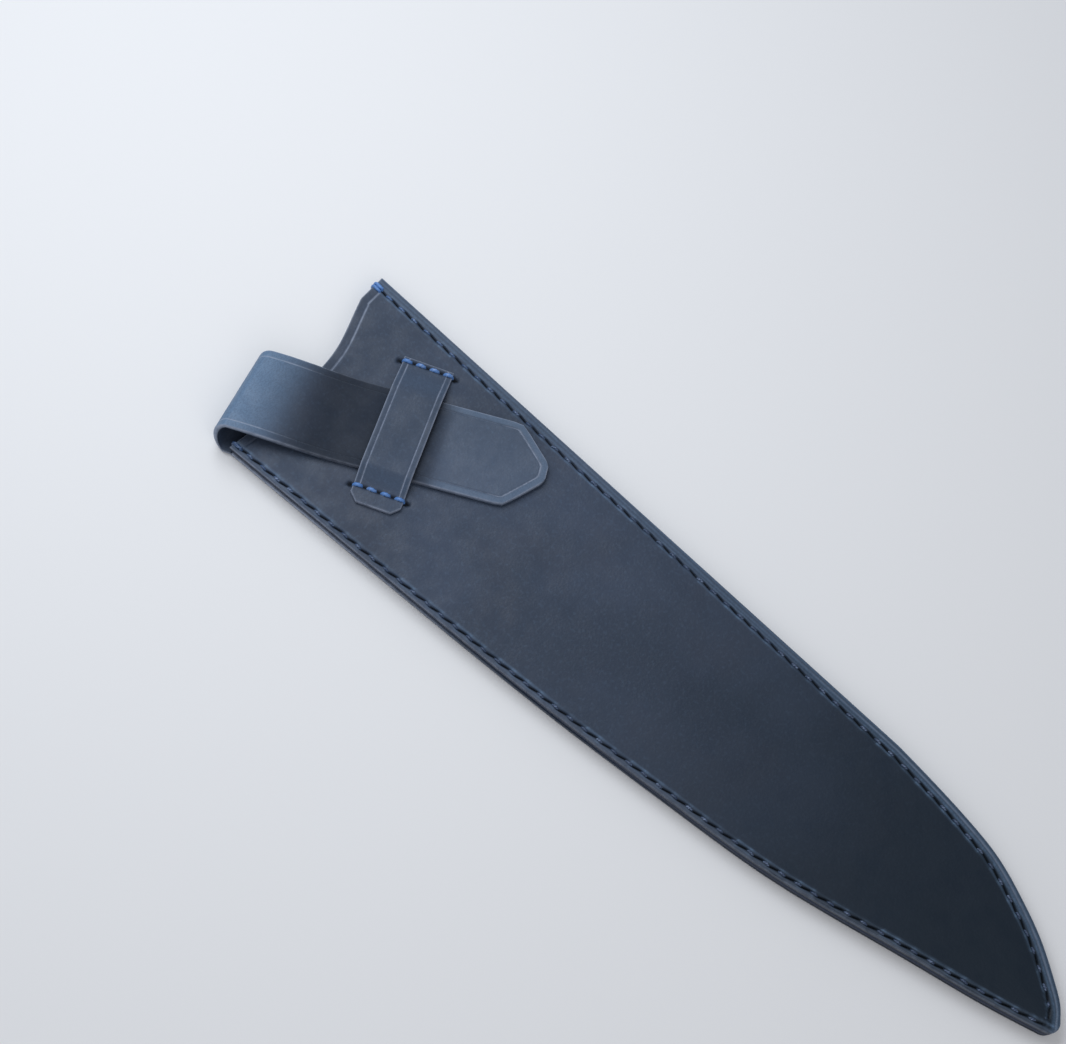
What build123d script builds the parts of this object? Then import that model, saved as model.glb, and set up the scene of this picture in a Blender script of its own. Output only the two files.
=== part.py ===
import math
import os

from build123d import *

# Sheath panels, seen from the front with the mouth at low X and the cutting edge at low Y
sheath_length = 259.5
mouth_width = 63.5
panel_thickness = 1.8
welt_thickness = 2.4
welt_width = 6.0
mouth_scallop = 8.2

# Stitched seam round the blade pocket
thread_width = 0.9
thread_rise = 0.45
thread_gap = 0.1
thread_hole_gap = 0.06
stitch_pitch = 4.7
spine_seam_inset = 3.0
edge_seam_inset = 1.5
seam_start = 3.4
spine_seam_stop = 1.5
edge_seam_stop = 1.5

# Pressed crease lines
crease_width = 0.5
crease_depth = 0.25
mouth_crease_inset = 2.6
keeper_crease_inset = 1.6
strap_crease_inset = 2.0

# Keeper, the bridge that holds the strap down
keeper_width = 14.0
keeper_thickness = 1.6
keeper_side_room = 6.95
keeper_row_overhang = 0.7
keeper_row_holes = 5
keeper_angle = 24.3
keeper_from_mouth = 35.8
keeper_spine_room = 11.1
keeper_edge_room = 18.0
keeper_upper_land = 1.3
keeper_lower_land = 4.4
keeper_corner_cut = 2.2
keeper_seat = 0.7
keeper_ramp = 2.6

# Strap, cut in one with the back panel, folded over at the heel and tucked under the keeper
strap_thickness = 1.8
strap_clearance = 0.3
strap_angle = 29.2
heel_run_angle = 3.3
strap_offset = 1.6
strap_standoff = 4.2
loop_reach = 3.3
heel_run_length = 2.3
tongue_past_keeper = 1.0
tongue_length = 31.4
tongue_shoulder = 9.2
tongue_blunt = 5.0
tongue_round = 1.2

# The front run has settled on the panel by this share of its length
front_settle_share = 0.6

# Smoothness of the curved strap pieces and a shared overrun for cuts
loop_steps = 12
run_steps = 10
welt_stations = 20
overrun = 5.0

# The spine edge from its straight part to the nose, as shares of length and mouth width
spine_curve_shares = [
    (0.715, 1.0), (0.776, 0.981), (0.821, 0.960), (0.854, 0.935), (0.899, 0.869),
    (0.934, 0.802), (0.972, 0.702), (0.989, 0.646), (0.9965, 0.606),
]
nose_share = (1.0, 0.564)

# The cutting-edge side from the nose back towards the heel corner
edge_curve_shares = [
    (0.9911, 0.526), (0.940, 0.466), (0.8605, 0.389), (0.805, 0.334), (0.705, 0.243),
    (0.595, 0.183), (0.478, 0.129), (0.353, 0.085), (0.177, 0.038),
]

# The mouth from heel to spine: shares of the scallop's depth and of the mouth width
heel_shares = (0.83, 0.0)
mouth_curve_shares = [(1.0, 0.236), (0.963, 0.457), (0.78, 0.627), (0.354, 0.773), (0.06, 0.866)]

# Sizes that follow from the ones above
stitch_hole_radius = thread_width / math.sqrt(2) + thread_hole_gap
keeper_reach = mouth_width - keeper_spine_room - keeper_edge_room
keeper_row_spacing = keeper_reach / math.cos(math.radians(keeper_angle))
keeper_above_middle = (keeper_edge_room - keeper_spine_room) / 2
strap_width = keeper_row_spacing - 2 * keeper_side_room
keeper_row_pitch = (keeper_width + 2 * keeper_row_overhang) / (keeper_row_holes - 1)
tongue_start = keeper_width / 2 + tongue_past_keeper

# Heights of the layers, from the back face up
welt_z = panel_thickness
front_z = welt_z + welt_thickness
top_z = front_z + panel_thickness
strap_z = top_z + strap_clearance
keeper_under_z = strap_z + strap_thickness + strap_clearance
strap_rise = top_z + strap_standoff + strap_thickness


def on_sheath(length_share, width_share):
    """A point of the outline from its shares of the sheath's length and mouth width."""
    return Vector((length_share - 0.5) * sheath_length, (width_share - 0.5) * mouth_width)


def on_mouth(depth_share, width_share):
    """A point of the mouth edge from its shares of the scallop's depth and the mouth width."""
    return Vector(depth_share * mouth_scallop - sheath_length / 2, (width_share - 0.5) * mouth_width)


def toward(angle, distance):
    """A step of the given distance in the direction of an angle in degrees."""
    return Vector(math.cos(math.radians(angle)), math.sin(math.radians(angle))) * distance


spine_corner = on_mouth(0, 1)
heel_corner = on_mouth(*heel_shares)
spine_points = [on_sheath(*share) for share in spine_curve_shares]
edge_points = [on_sheath(*share) for share in edge_curve_shares]
mouth_points = [on_mouth(*share) for share in mouth_curve_shares]

spine_side = Wire([Edge.make_line(spine_corner, spine_points[0]), Edge.make_spline(spine_points)])
nose = Edge.make_three_point_arc(spine_points[-1], on_sheath(*nose_share), edge_points[0])
edge_side = Wire([Edge.make_spline(edge_points + [heel_corner])])
mouth_edge = Wire([
    Edge.make_spline([heel_corner] + mouth_points),
    Edge.make_line(mouth_points[-1], spine_corner),
])


def closed_face(*pieces):
    """A flat face inside a closed run of edges and wires."""
    edges = [edge for piece in pieces for edge in piece.edges()]
    return Face(Wire(edges))


outline = closed_face(spine_side, nose, edge_side, mouth_edge)


def slab(face, bottom, thickness):
    """A sheet of leather or a cutter with this face, from a bottom height up."""
    return Pos(0, 0, bottom) * extrude(face, amount=thickness, dir=(0, 0, 1))


def beside(wire, along, inset, inward):
    """A point beside one side of the outline; past the side's ends, beside its tangent."""
    inside = min(max(along, 0), wire.length)
    place = wire.position_at(inside, position_mode=PositionMode.LENGTH)
    heading = wire.tangent_at(inside, position_mode=PositionMode.LENGTH)
    return place + heading * (along - inside) + Vector(heading.Y, -heading.X) * inset * inward


def seam_points(wire, inset, stop, inward):
    """Evenly pitched stitch holes that follow one side of the outline at an inset."""
    span = wire.length - seam_start - stop
    count = round(span / stitch_pitch)
    return [beside(wire, seam_start + span * n / count, inset, inward) for n in range(count + 1)]


# Both sides are followed from the mouth towards the nose
edge_from_heel = Wire([Edge.make_spline([heel_corner] + edge_points[::-1])])
spine_holes = seam_points(spine_side, spine_seam_inset, spine_seam_stop, 1)
edge_holes = seam_points(edge_from_heel, edge_seam_inset, edge_seam_stop, -1)
seam_holes = spine_holes + edge_holes[::-1]

# The seam's thread is locked over the mouth edge, abreast of the spine side's first hole
mouth_lean = (mouth_points[-1].X - spine_corner.X) / (spine_corner.Y - mouth_points[-1].Y)
mouth_lock = Vector(spine_corner.X + mouth_lean * spine_seam_inset, spine_holes[0].Y)


def hole_wires(points):
    """Round stitch holes as inner wires of a panel's face."""
    return [Wire([Edge.make_circle(stitch_hole_radius, Plane(point))]) for point in points]


def holed_face(face, points):
    """The face with a stitch hole at each point."""
    return Face(face.outer_wire(), hole_wires(points))


def stitch(start, end, bottom, top):
    """One stitch: a bar on each face, joined by the leg that goes down its first hole."""
    run = (end - start).length
    heading = (end - start).normalized()
    half = thread_width / 2
    bar_end = run - half - thread_gap
    profile = Polyline(
        (-half, bottom), (bar_end, bottom), (bar_end, bottom + thread_rise),
        (half, bottom + thread_rise), (half, top), (bar_end, top), (bar_end, top + thread_rise),
        (-half, top + thread_rise), close=True,
    )
    plane = Plane(origin=start, x_dir=heading, z_dir=(heading.Y, -heading.X, 0))
    return extrude(plane * make_face(profile.edges()), amount=half, both=True)


def thread_bed(start, end, bottom):
    """The groove from hole to hole that lets a stitch's hidden bar lie flush in its face."""
    heading = (end - start).normalized()
    middle = (start + end) * 0.5
    plane = Plane(origin=(middle.X, middle.Y, bottom), x_dir=heading, z_dir=(0, 0, 1))
    width = thread_width + 2 * thread_gap
    return extrude(plane * Rectangle((end - start).length, width), amount=thread_rise + thread_gap)


def pairs(points):
    """Neighbouring points of a row, two at a time."""
    return list(zip(points, points[1:]))


# The keeper's own directions: along its rows of stitches, and across the strap
keeper_centre = Vector(keeper_from_mouth - sheath_length / 2, keeper_above_middle)
keeper_row_dir = toward(keeper_angle, 1)
keeper_cross_dir = toward(keeper_angle + 90, 1)


def keeper_row(side):
    """The stitch holes of the keeper's upper (+1) or lower (-1) end."""
    middle = keeper_centre + keeper_cross_dir * (side * keeper_row_spacing / 2)
    first = -(keeper_row_holes - 1) / 2
    return [middle + keeper_row_dir * ((first + n) * keeper_row_pitch) for n in range(keeper_row_holes)]


upper_row = keeper_row(1)
lower_row = keeper_row(-1)

# The fold's crease line halves the turn between the strap's two directions
fold_angle = 90 + (strap_angle + heel_run_angle) / 2
skew = math.radians((strap_angle - heel_run_angle) / 2)
fold_dir = toward(fold_angle, 1)
outward = toward(fold_angle + 90, 1)
fold_width = strap_width / math.cos(skew)

# The strap's centreline runs past the keeper's centre at an offset
strap_dir = toward(strap_angle, 1)
strap_side = toward(strap_angle + 90, 1)
strap_axis = keeper_centre - strap_side * strap_offset


def on_strap(along, across):
    """A point of the strap's front run, measured from beside the keeper's centre."""
    return strap_axis + strap_dir * along + strap_side * across


# Where the fold's line meets the strap's lower edge, above the heel
fold_base = heel_corner + outward * heel_run_length
to_edge = (on_strap(0, -strap_width / 2) - fold_base).dot(strap_side)
fold_lower = fold_base + fold_dir * (to_edge / fold_dir.dot(strap_side))
fold_upper = fold_lower + fold_dir * fold_width

# The middle of the leather follows half an ellipse, and its edges shift as it wraps
mid_reach = loop_reach - strap_thickness / 2
mid_rise = (strap_rise - strap_thickness) / 2
wrap_length = math.pi * math.sqrt((mid_reach**2 + mid_rise**2) / 2)
wrap_shift = wrap_length * math.tan(skew)


def block_between(sections):
    """A solid skinned straight from one four-cornered section to the next."""
    return loft([Face(Wire.make_polygon(corners, close=True)) for corners in sections], ruled=True)


def lifted(point, height):
    """A plan point raised to a height."""
    return Vector(point.X, point.Y, height)


def loop_section(step):
    """One cross-section of the fold, from the heel run (step 0) to the front run."""
    share = step / loop_steps
    turn = math.pi * (share - 0.5)
    shift = fold_dir * (wrap_shift * (share - 1))
    corners = []
    for depth in (0, strap_thickness):
        out = outward * ((loop_reach - depth) * math.cos(turn))
        height = strap_rise / 2 + (strap_rise / 2 - depth) * math.sin(turn)
        corners.append([lifted(base + shift + out, height) for base in (fold_lower, fold_upper)])
    (outer_low, outer_high), (inner_low, inner_high) = corners
    return [outer_low, outer_high, inner_high, inner_low]


def run_section(step):
    """One cross-section of the front run, which comes down from the fold to the panel."""
    share = step / run_steps
    settle = min(share / front_settle_share, 1)
    drop = settle * settle * (3 - 2 * settle)
    height = strap_rise - strap_thickness + (strap_z - strap_rise + strap_thickness) * drop
    half = strap_width / 2
    low = fold_lower * (1 - share) + on_strap(tongue_start, -half) * share
    high = fold_upper * (1 - share) + on_strap(tongue_start, half) * share
    top = height + strap_thickness
    return [lifted(low, top), lifted(high, top), lifted(high, height), lifted(low, height)]


def front_panel():
    """The outer panel, sewn round its rim, with a crease pressed beside the mouth."""
    face = holed_face(outline, seam_holes + upper_row + lower_row)
    panel = slab(face, front_z, panel_thickness)
    near = mouth_edge.moved(Pos(mouth_crease_inset, 0, 0))
    far = mouth_edge.moved(Pos(mouth_crease_inset + crease_width, 0, 0))
    ends = [
        Edge.make_line(near.position_at(0), far.position_at(0)),
        Edge.make_line(near.position_at(1), far.position_at(1)),
    ]
    crease = closed_face(near, far, *ends)
    between_seams = mouth_width - spine_seam_inset - edge_seam_inset - 2 * thread_width
    window = Pos(-sheath_length / 2, (edge_seam_inset - spine_seam_inset) / 2) * Rectangle(
        4 * mouth_scallop, between_seams
    )
    panel -= slab(crease & window, top_z - crease_depth, crease_depth)
    beds = [thread_bed(a, b, front_z) for row in (upper_row, lower_row) for a, b in pairs(row)]
    return panel - beds


def tab_face():
    """The root of the strap, where it leaves the back panel past the mouth."""
    upper_root = fold_upper - fold_dir * wrap_shift - outward * heel_run_length
    inner = toward(heel_run_angle, 3 * mouth_scallop)
    return closed_face(Wire.make_polygon(
        [heel_corner, upper_root, upper_root + inner, heel_corner + inner + fold_dir * welt_width],
        close=True,
    ))


def back_panel():
    """The panel that the object lies on, with the strap's root and grooves for the thread."""
    whole = (outline + tab_face()).face()
    panel = slab(holed_face(whole, seam_holes), 0, panel_thickness)
    past_mouth = mouth_lock - Vector(overrun, 0)
    return panel - [thread_bed(a, b, 0) for a, b in pairs([past_mouth] + seam_holes)]


def welt_band(wire, inward):
    """The strip along one side of the outline that its welt lies in, past both ends."""
    stations = [-overrun] + [wire.length * n / welt_stations for n in range(welt_stations + 1)]
    stations.append(wire.length + overrun)
    inner = [beside(wire, along, welt_width, inward) for along in stations]
    outer = [beside(wire, along, -overrun, inward) for along in stations]
    return closed_face(
        Edge.make_spline(inner), Edge.make_line(inner[-1], outer[-1]),
        Edge.make_spline(outer), Edge.make_line(inner[0], outer[0]),
    )


def welts():
    """The two spacer strips between the panels, which leave the blade's pocket open."""
    spine_band = welt_band(spine_side, 1)
    edge_band = welt_band(edge_from_heel, -1)
    holes = [Pos(point.X, point.Y) * Circle(stitch_hole_radius) for point in seam_holes]
    spine_face = (outline & spine_band) - holes
    edge_face = (outline & edge_band) - spine_band - holes
    return slab(spine_face, welt_z, welt_thickness), slab(edge_face, welt_z, welt_thickness)


def mouth_wrap(hole, edge_point):
    """The loop of thread that locks the seam over the mouth edge."""
    heading = (edge_point - hole).normalized()
    half = thread_width / 2
    out = (edge_point - hole).length + thread_gap
    profile = Polyline(
        (half + thread_gap, 0), (out + thread_rise, 0), (out + thread_rise, top_z + thread_rise),
        (half + thread_gap, top_z + thread_rise), (half + thread_gap, top_z), (out, top_z),
        (out, thread_rise), (half + thread_gap, thread_rise), close=True,
    )
    plane = Plane(origin=hole, x_dir=heading, z_dir=(heading.Y, -heading.X, 0))
    return extrude(plane * make_face(profile.edges()), amount=half, both=True)


def seam_thread():
    """The saddle-stitched seam, a stitch from each hole to the next, locked at the spine end."""
    stitches = [stitch(a, b, 0, top_z) for a, b in pairs(seam_holes)]
    return Compound([mouth_wrap(spine_holes[0], mouth_lock)] + stitches)


def keeper_profile(lift):
    """The keeper's section across the strap: flat ends sewn down, and a bridge between."""
    row = keeper_row_spacing / 2
    foot = row - keeper_seat
    crest = foot - keeper_ramp
    low, high = top_z, keeper_under_z
    upper_end = row + keeper_upper_land
    lower_end = -row - keeper_lower_land
    under = [(lower_end, low), (-foot, low), (-crest, high), (crest, high), (foot, low), (upper_end, low)]
    over = [(across, height + keeper_thickness) for across, height in reversed(under)]
    points = [(across, height + lift) for across, height in under + over]
    return make_face(Polyline(*points, close=True).edges())


def keeper_strip(lift, middle, width):
    """A band of the keeper's section, extruded along its rows of stitches."""
    plane = Plane(
        origin=keeper_centre + keeper_row_dir * middle, x_dir=keeper_cross_dir, z_dir=keeper_row_dir
    )
    return extrude(plane * keeper_profile(lift), amount=width / 2, both=True)


def keeper():
    """The bridge over the strap, creased along both long sides, its lower corners cut off."""
    bridge = keeper_strip(0, 0, keeper_width)
    lifted_off = keeper_thickness - crease_depth
    for side in (-1, 1):
        place = side * (keeper_width / 2 - keeper_crease_inset)
        bridge -= keeper_strip(lifted_off, place, crease_width)
    lower_end = keeper_row_spacing / 2 + keeper_lower_land
    for side in (-1, 1):
        corner = keeper_centre - keeper_cross_dir * lower_end + keeper_row_dir * (side * keeper_width / 2)
        legs = [corner, corner + keeper_cross_dir * keeper_corner_cut,
                corner - keeper_row_dir * (side * keeper_corner_cut)]
        bridge -= slab(closed_face(Wire.make_polygon(legs, close=True)), top_z, keeper_thickness)
    sewn = [point for row in (upper_row, lower_row) for point in row[1:-1]]
    holes = [Pos(point.X, point.Y) * Circle(stitch_hole_radius) for point in sewn]
    return bridge - [slab(hole, top_z, keeper_thickness) for hole in holes]


def row_thread(row):
    """The four stitches that fasten one end of the keeper to the front panel."""
    return Compound([stitch(a, b, front_z, top_z + keeper_thickness) for a, b in pairs(row)])


def strap_back_run():
    """The short flat run of the strap between its root and the fold."""
    root_low = heel_corner
    start_low = fold_lower - fold_dir * wrap_shift
    start_high = fold_upper - fold_dir * wrap_shift
    root_high = start_high - outward * heel_run_length
    corners = [root_low, root_high, start_high, start_low]
    return slab(Face(Wire.make_polygon(corners, close=True)), 0, strap_thickness)


def tongue_face(root):
    """The strap's free end, with sloping shoulders and a blunt tip."""
    half = strap_width / 2
    tip = tongue_start + tongue_length
    shoulder = tip - tongue_shoulder
    blunt = tongue_blunt / 2
    corners = [(root, -half), (shoulder, -half), (tip, -blunt), (tip, blunt), (shoulder, half), (root, half)]
    face = closed_face(Wire.make_polygon([on_strap(*corner) for corner in corners], close=True))
    ends = face.vertices().sort_by(Axis((0, 0, 0), (strap_dir.X, strap_dir.Y, 0)))[-4:]
    return face.fillet_2d(tongue_round, ends)


def strap_tongue():
    """The strap's end past the keeper, with a crease pressed inside its border."""
    tongue = slab(tongue_face(tongue_start), strap_z, strap_thickness)
    longer = tongue_face(tongue_start - overrun)
    outer = offset(longer, amount=-strap_crease_inset)
    crease = outer - offset(longer, amount=-strap_crease_inset - crease_width)
    return tongue - slab(crease, strap_z + strap_thickness - crease_depth, crease_depth)


spine_welt, edge_welt = welts()
nodes = {
    "front_panel": front_panel(),
    "back_panel": back_panel(),
    "spine_welt": spine_welt,
    "edge_welt": edge_welt,
    "seam_thread": seam_thread(),
    "keeper": keeper(),
    "keeper_thread_upper": row_thread(upper_row),
    "keeper_thread_lower": row_thread(lower_row),
    "strap_back_run": strap_back_run(),
    "strap_loop": block_between([loop_section(step) for step in range(loop_steps + 1)]),
    "strap_front_run": block_between([run_section(step) for step in range(run_steps + 1)]),
    "strap_tongue": strap_tongue(),
}

os.makedirs("parts", exist_ok=True)
for name, shape in nodes.items():
    export_step(shape, f"parts/{name}.step")
    print(name, len(shape.solids()), "solids", round(shape.volume, 2), "mm3")
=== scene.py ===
import math

import bpy
import numpy as np
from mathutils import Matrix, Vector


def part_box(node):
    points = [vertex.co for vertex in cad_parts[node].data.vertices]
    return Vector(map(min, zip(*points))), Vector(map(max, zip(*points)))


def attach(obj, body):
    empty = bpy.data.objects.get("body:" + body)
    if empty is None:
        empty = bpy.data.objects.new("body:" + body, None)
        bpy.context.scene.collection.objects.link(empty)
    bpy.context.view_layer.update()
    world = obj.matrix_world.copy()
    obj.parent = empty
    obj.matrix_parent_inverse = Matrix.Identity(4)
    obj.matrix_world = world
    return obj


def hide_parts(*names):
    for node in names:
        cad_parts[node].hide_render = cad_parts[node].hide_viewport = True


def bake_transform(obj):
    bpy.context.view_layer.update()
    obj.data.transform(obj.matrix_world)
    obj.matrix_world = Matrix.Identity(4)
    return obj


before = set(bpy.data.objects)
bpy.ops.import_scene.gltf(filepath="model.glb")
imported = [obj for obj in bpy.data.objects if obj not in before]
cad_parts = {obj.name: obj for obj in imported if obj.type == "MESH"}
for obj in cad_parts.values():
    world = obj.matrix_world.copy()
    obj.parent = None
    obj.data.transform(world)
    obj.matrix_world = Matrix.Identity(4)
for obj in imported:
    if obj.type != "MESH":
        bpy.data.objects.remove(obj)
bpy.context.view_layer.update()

# Camera: a 68 mm lens above the sheath, tilted 21 degrees from straight down, with the
# mouth at the upper left of the picture and the tip at the lower right.
mm = 0.001
camera_place = (34.28 * mm, -152.91 * mm, 495.32 * mm)
camera_turn = (0.3468, -0.0970, 0.7524)
camera_lens = 67.54
camera_film_width = 36.0


def add_object(name, data):
    """A new object with this data, in the scene."""
    made = bpy.data.objects.new(name, data)
    bpy.context.scene.collection.objects.link(made)
    return made


camera_data = bpy.data.cameras.new("camera")
camera_data.lens = camera_lens
camera_data.sensor_width = camera_film_width
camera = add_object("camera", camera_data)
camera.location = camera_place
camera.rotation_euler = camera_turn
bpy.context.scene.camera = camera
bpy.context.scene.view_settings.view_transform = "Standard"

# Outline of the sheath: a straight spine that curves down to the nose, a gently bellied
# cutting edge, and a scalloped mouth. The leather is cut to it with one template.
panel_low, panel_high = (np.array(corner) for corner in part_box("front_panel"))
sheath_length = panel_high[0] - panel_low[0]
mouth_width = panel_high[1] - panel_low[1]
top_z = panel_high[2]
front_z = panel_low[2]
welt_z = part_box("back_panel")[1][2]
mouth_scallop = 8.2 * mm
spine_curve_shares = [
    (0.715, 1.0), (0.776, 0.981), (0.821, 0.960), (0.854, 0.935), (0.899, 0.869),
    (0.934, 0.802), (0.972, 0.702), (0.989, 0.646), (0.9965, 0.606),
]
nose_share = (1.0, 0.564)
edge_curve_shares = [
    (0.9911, 0.526), (0.940, 0.466), (0.8605, 0.389), (0.805, 0.334), (0.705, 0.243),
    (0.595, 0.183), (0.478, 0.129), (0.353, 0.085), (0.177, 0.038),
]
heel_shares = (0.83, 0.0)
mouth_curve_shares = [(1.0, 0.236), (0.963, 0.457), (0.78, 0.627), (0.354, 0.773), (0.06, 0.866)]
spine_straight_steps = 300
mouth_straight_steps = 40
edge_steps = 700
nose_steps = 60
mouth_end_share = 0.22
mouth_end_columns_share = 0.35
least_square = 0.4


def on_sheath(shares, length=sheath_length):
    """Points from shares of the sheath's length, or another one, and of the mouth's width."""
    return panel_low[:2] + np.array(shares) * (length, mouth_width)


def smooth_line(points, steps=400):
    """A natural cubic spline: the knots are chord lengths, and the bends at the knots solve
    the usual three-diagonal equations, with none at either end."""
    points = np.array(points)
    chord = np.linalg.norm(np.diff(points, axis=0), axis=1)
    knot = np.append(0, np.cumsum(chord))
    inner = len(points) - 2
    rates = np.diff(points, axis=0) / chord[:, None]
    system = np.diag(2 * (chord[:-1] + chord[1:]))
    system += np.diag(chord[1:inner], 1) + np.diag(chord[1:inner], -1)
    bend = np.zeros_like(points)
    bend[1:-1] = np.linalg.solve(system, 6 * np.diff(rates, axis=0))
    at = np.linspace(0, knot[-1], steps)
    span = np.clip(np.searchsorted(knot, at, side="right") - 1, 0, inner)
    width, before, after = chord[span, None], (knot[span + 1] - at)[:, None], (at - knot[span])[:, None]
    line = bend[span] * before**3 / (6 * width) + bend[span + 1] * after**3 / (6 * width)
    line += (points[span] / width - bend[span] * width / 6) * before
    return line + (points[span + 1] / width - bend[span + 1] * width / 6) * after


def run_of(line):
    """Distance along a line at each of its points."""
    return np.append(0, np.cumsum(np.linalg.norm(np.diff(line, axis=0), axis=1)))


def along(line, distance):
    """Points of a line at distances from its start; past its ends it goes on straight."""
    run = run_of(line)
    inside = np.clip(distance, 0, run[-1])
    place = np.stack([np.interp(inside, run, line[:, axis]) for axis in (0, 1)], -1)
    return place + heading(line, distance) * np.expand_dims(distance - inside, -1)


def heading(line, distance):
    """Unit directions of a line at distances from its start: its slope by the distance run."""
    run = run_of(line)
    step = np.gradient(line, run, axis=0)
    turn = np.stack([np.interp(distance, run, step[:, axis]) for axis in (0, 1)], -1)
    return turn / np.linalg.norm(turn, axis=-1, keepdims=True)


def arc_through(start, middle, end):
    """The arc through three points: its centre is equally far from all of them."""
    rows = 2 * np.array([middle - start, end - start])
    centre = np.linalg.solve(rows, [middle @ middle - start @ start, end @ end - start @ start])
    angles = np.unwrap([math.atan2(*(point - centre)[::-1]) for point in (start, middle, end)])
    turn = np.linspace(angles[0], angles[2], nose_steps)
    return centre + np.linalg.norm(start - centre) * np.stack([np.cos(turn), np.sin(turn)], -1)


spine_corner = on_sheath((0, 1))
heel_corner = on_sheath(heel_shares, mouth_scallop)
spine_bend = smooth_line(on_sheath(spine_curve_shares))
spine_straight = np.linspace(spine_corner, spine_bend[0], spine_straight_steps)
spine_side = np.vstack([spine_straight[:-1], spine_bend])
edge_side = smooth_line(np.vstack([heel_corner, on_sheath(edge_curve_shares)[::-1]]), edge_steps)
nose = arc_through(edge_side[-1], on_sheath(nose_share), spine_side[-1])
mouth_curve = on_sheath(mouth_curve_shares, mouth_scallop)
mouth_bend = smooth_line(np.vstack([heel_corner, mouth_curve]))
mouth_straight = np.linspace(mouth_bend[-1], spine_corner, mouth_straight_steps)
mouth_edge = np.vstack([mouth_bend, mouth_straight[1:]])
spine_run, edge_run, mouth_run, nose_run = (
    run_of(line)[-1] for line in (spine_side, edge_side, mouth_edge, nose)
)


def left_of(turn):
    """Directions square to others, to their left: (x, y) becomes (-y, x)."""
    return np.stack([-turn[..., 1], turn[..., 0]], -1)


def inward(line, distance, side):
    """Unit directions into the sheath, square to a side: +1 turns right, -1 turns left."""
    return -side * left_of(heading(line, distance))


def dot(a, b):
    """Row-by-row dot product."""
    return (a * b).sum(-1)


def sheath_columns(count):
    """The two ends of each line across the sheath, and its width as seen square to each side.

    The lines are closer together near the mouth."""
    early = round(mouth_end_columns_share * count)
    near = np.linspace(0, mouth_end_share, early, endpoint=False)
    share = np.append(near, np.linspace(mouth_end_share, 1, count - early))
    low, high = along(edge_side, share * edge_run), along(spine_side, share * spine_run)
    width = np.linalg.norm(high - low, axis=1)
    across = (high - low) / width[:, None]
    square_low = np.clip(dot(across, inward(edge_side, share * edge_run, -1)), least_square, 1)
    square_high = np.clip(-dot(across, inward(spine_side, share * spine_run, 1)), least_square, 1)
    return share, low, high, width * square_low, width * square_high


def sheath_point(share, low, high, cross):
    """A Coons patch: the blend across, plus the blend along, less the blend of the corners."""
    u, v = share[:, None, None], cross[..., None]
    low, high = low[:, None], high[:, None]
    mouth, tip = along(mouth_edge, cross * mouth_run), along(nose, cross * nose_run)
    corners = (1 - u) * ((1 - v) * heel_corner + v * spine_corner)
    corners = corners + u * ((1 - v) * nose[0] + v * nose[-1])
    return (1 - v) * low + v * high + (1 - u) * mouth + u * tip - corners


# Waxed pull-up leather: dark navy, mottled, with a fine grain, and darker towards the tip:
# partly deeper dye, partly painted shade where the lamp's light falls off. It pales where it is
# bent, rubbed or pressed into a line, with painted highlights on some rims and painted glints
# beside the slits, and painted shade makes it nearly black down in the awl slits.
leather_navy = (0.040, 0.057, 0.094)
leather_deep = (0.030, 0.044, 0.073)
leather_warm = (0.048, 0.054, 0.077)
leather_tip_shade_and_dye = (0.003, 0.010, 0.019)
leather_bloom_and_glint = (0.125, 0.203, 0.320)
leather_wear_and_highlight = (0.300, 0.345, 0.445)
leather_slit_shade = (0.002, 0.003, 0.005)
leather_shine = 0.27
tip_dark_from = -62 * mm
tip_dark_to = 104 * mm
tip_dark_share = 0.92
pores_per_mm = 1.5
pore_depth = 0.03 * mm
fibre_depth = 0.02 * mm
dent_depth = 0.18 * mm


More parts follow.
